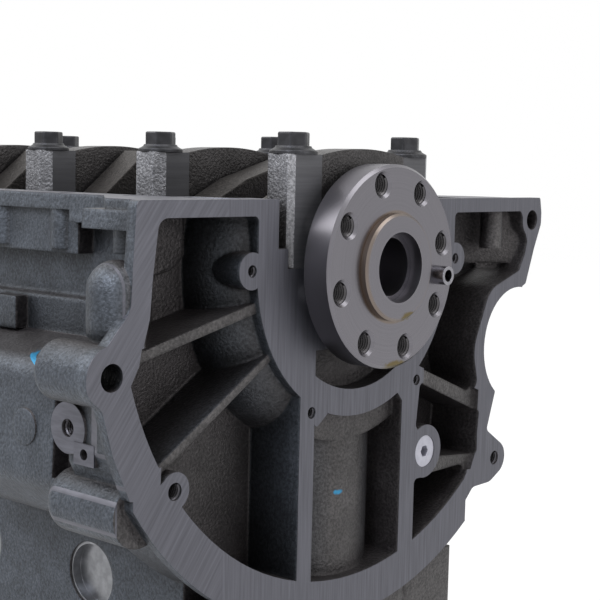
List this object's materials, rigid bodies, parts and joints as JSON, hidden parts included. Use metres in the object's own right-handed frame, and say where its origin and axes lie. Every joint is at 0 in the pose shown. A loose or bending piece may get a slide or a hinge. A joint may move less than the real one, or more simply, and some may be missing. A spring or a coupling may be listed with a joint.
{
  "type": "engine block",
  "caption": "In-line diesel short block standing on its deck: cast block with bearing caps, shells, bolts and a crankshaft that turns, its flywheel flange to the rear.",
  "frame": {"origin": "on the deck face, midway between the two middle cylinders", "axes": "+Z from the deck towards the sump side, +Y from the flywheel end to the timing end, +X to the right seen from the flywheel end"},
  "size_m": [0.359, 0.4855, 0.3127],
  "materials": {
    "block_casting": "sand-cast grey iron, machined on its joint faces",
    "cap_casting": "cast sides, milled ends",
    "crank_steel": "turned and ground flange, forged cheeks",
    "bolt_steel": "black oxide",
    "bearing_metal": "satin bearing lining",
    "bright_steel": "ground",
    "plug_aluminium": "satin"
  },
  "bodies": {
    "block": {"core_plugs": "bright_steel", "cylinder_block": "block_casting", "front_gallery_plug": "bright_steel", "lower_bearing_shell_1": "bearing_metal", "lower_bearing_shell_2": "bearing_metal", "lower_bearing_shell_3": "bearing_metal", "lower_bearing_shell_4": "bearing_metal", "lower_bearing_shell_5": "bearing_metal", "main_cap_1": "cap_casting", "main_cap_2": "cap_casting", "main_cap_3": "cap_casting", "main_cap_4": "cap_casting", "main_cap_5": "cap_casting", "main_cap_bolts": "bolt_steel", "piston_cooling_jets": "bright_steel", "rear_gallery_plug": "plug_aluminium", "thrust_washers": "bearing_metal", "upper_bearing_shell_1": "bearing_metal", "upper_bearing_shell_2": "bearing_metal", "upper_bearing_shell_3": "bearing_metal", "upper_bearing_shell_4": "bearing_metal", "upper_bearing_shell_5": "bearing_metal"},
    "crank": {"crankshaft": "crank_steel", "flange_dowel": "bright_steel", "nose_key": "bright_steel"}
  },
  "joints": [
    {"name": "crank_spin", "type": "hinge", "parent": "block", "child": "crank", "pos_m": [0, 0, 0.246], "axis": [0, 1, 0], "continuous": true}
  ]
}
